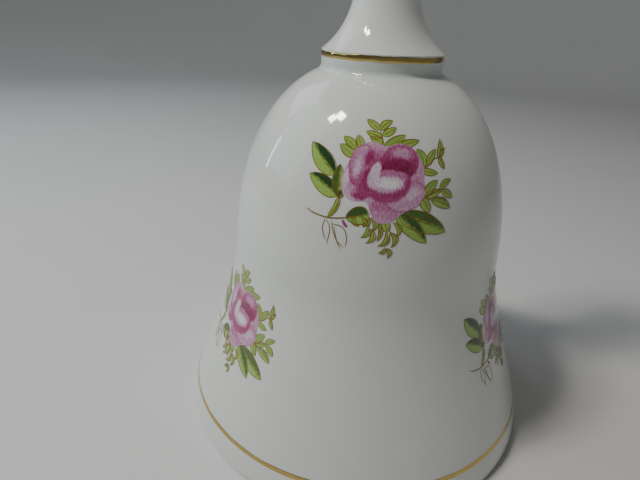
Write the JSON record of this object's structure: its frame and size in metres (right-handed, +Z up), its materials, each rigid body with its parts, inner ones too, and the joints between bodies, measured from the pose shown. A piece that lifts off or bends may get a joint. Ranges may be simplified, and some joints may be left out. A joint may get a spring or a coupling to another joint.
{
  "type": "porcelain table bell",
  "caption": "White glazed porcelain hand bell with a flared skirt, baluster handle, gilt lines and rose sprays, and a ball clapper hung on a wire chain.",
  "frame": {"origin": "centre of the foot ring, on the surface that the bell stands on", "axes": "+Z up along the axis of revolution to the knob of the handle; -Y faces the viewer; the first chain link swings about X"},
  "size_m": [0.064, 0.064, 0.1177],
  "materials": {
    "porcelain_glaze": "clear glossy glaze over white porcelain",
    "crown_cement": "matt cast plaster cement",
    "brass_wire": "drawn brass wire, lightly dulled",
    "porcelain_bisque": "unglazed ground foot ring",
    "gilding": "burnished bright gold line",
    "transfer_rose": "fired on-glaze print, pink",
    "transfer_leaf": "fired on-glaze print, green",
    "transfer_line": "fired on-glaze print, brown outline"
  },
  "bodies": {
    "bell": {"bell_body": "porcelain_glaze", "handle": "porcelain_glaze", "crown_cement": "crown_cement", "staple": "brass_wire"},
    "chain_link_1": {"chain_link_1": "brass_wire"},
    "chain_link_2": {"chain_link_2": "brass_wire"},
    "chain_link_3": {"chain_link_3": "brass_wire"},
    "chain_link_4": {"chain_link_4": "brass_wire"},
    "chain_link_5": {"chain_link_5": "brass_wire"},
    "chain_link_6": {"chain_link_6": "brass_wire"},
    "clapper_pin": {"clapper_pin": "brass_wire"},
    "clapper_ball": {"clapper_ball": "porcelain_glaze"}
  },
  "joints": [
    {"name": "chain_link_1_swing", "type": "hinge", "parent": "bell", "child": "chain_link_1", "pos_m": [0, 0, 0.0536], "axis": [1, 0, 0], "range_deg": [-23, 23]},
    {"name": "chain_link_2_swing", "type": "hinge", "parent": "chain_link_1", "child": "chain_link_2", "pos_m": [0, 0, 0.0483], "axis": [0, 1, 0], "range_deg": [-27, 27]},
    {"name": "chain_link_3_swing", "type": "hinge", "parent": "chain_link_2", "child": "chain_link_3", "pos_m": [0, 0, 0.043], "axis": [-1, 0, 0], "range_deg": [-31, 31]},
    {"name": "chain_link_4_swing", "type": "hinge", "parent": "chain_link_3", "child": "chain_link_4", "pos_m": [0, 0, 0.0377], "axis": [0, -1, 0], "range_deg": [-38, 38]},
    {"name": "chain_link_5_swing", "type": "hinge", "parent": "chain_link_4", "child": "chain_link_5", "pos_m": [0, 0, 0.0324], "axis": [1, 0, 0], "range_deg": [-48, 48]},
    {"name": "chain_link_6_swing", "type": "hinge", "parent": "chain_link_5", "child": "chain_link_6", "pos_m": [0, 0, 0.0271], "axis": [0, 1, 0], "range_deg": [-60, 60]},
    {"name": "clapper_pin_swing", "type": "hinge", "parent": "chain_link_6", "child": "clapper_pin", "pos_m": [0, 0, 0.0218], "axis": [-1, 0, 0], "range_deg": [-60, 60]},
    {"name": "clapper_ball_spin", "type": "hinge", "parent": "clapper_pin", "child": "clapper_ball", "pos_m": [0, 0, 0.0125], "axis": [0, 0, 1], "continuous": true}
  ]
}
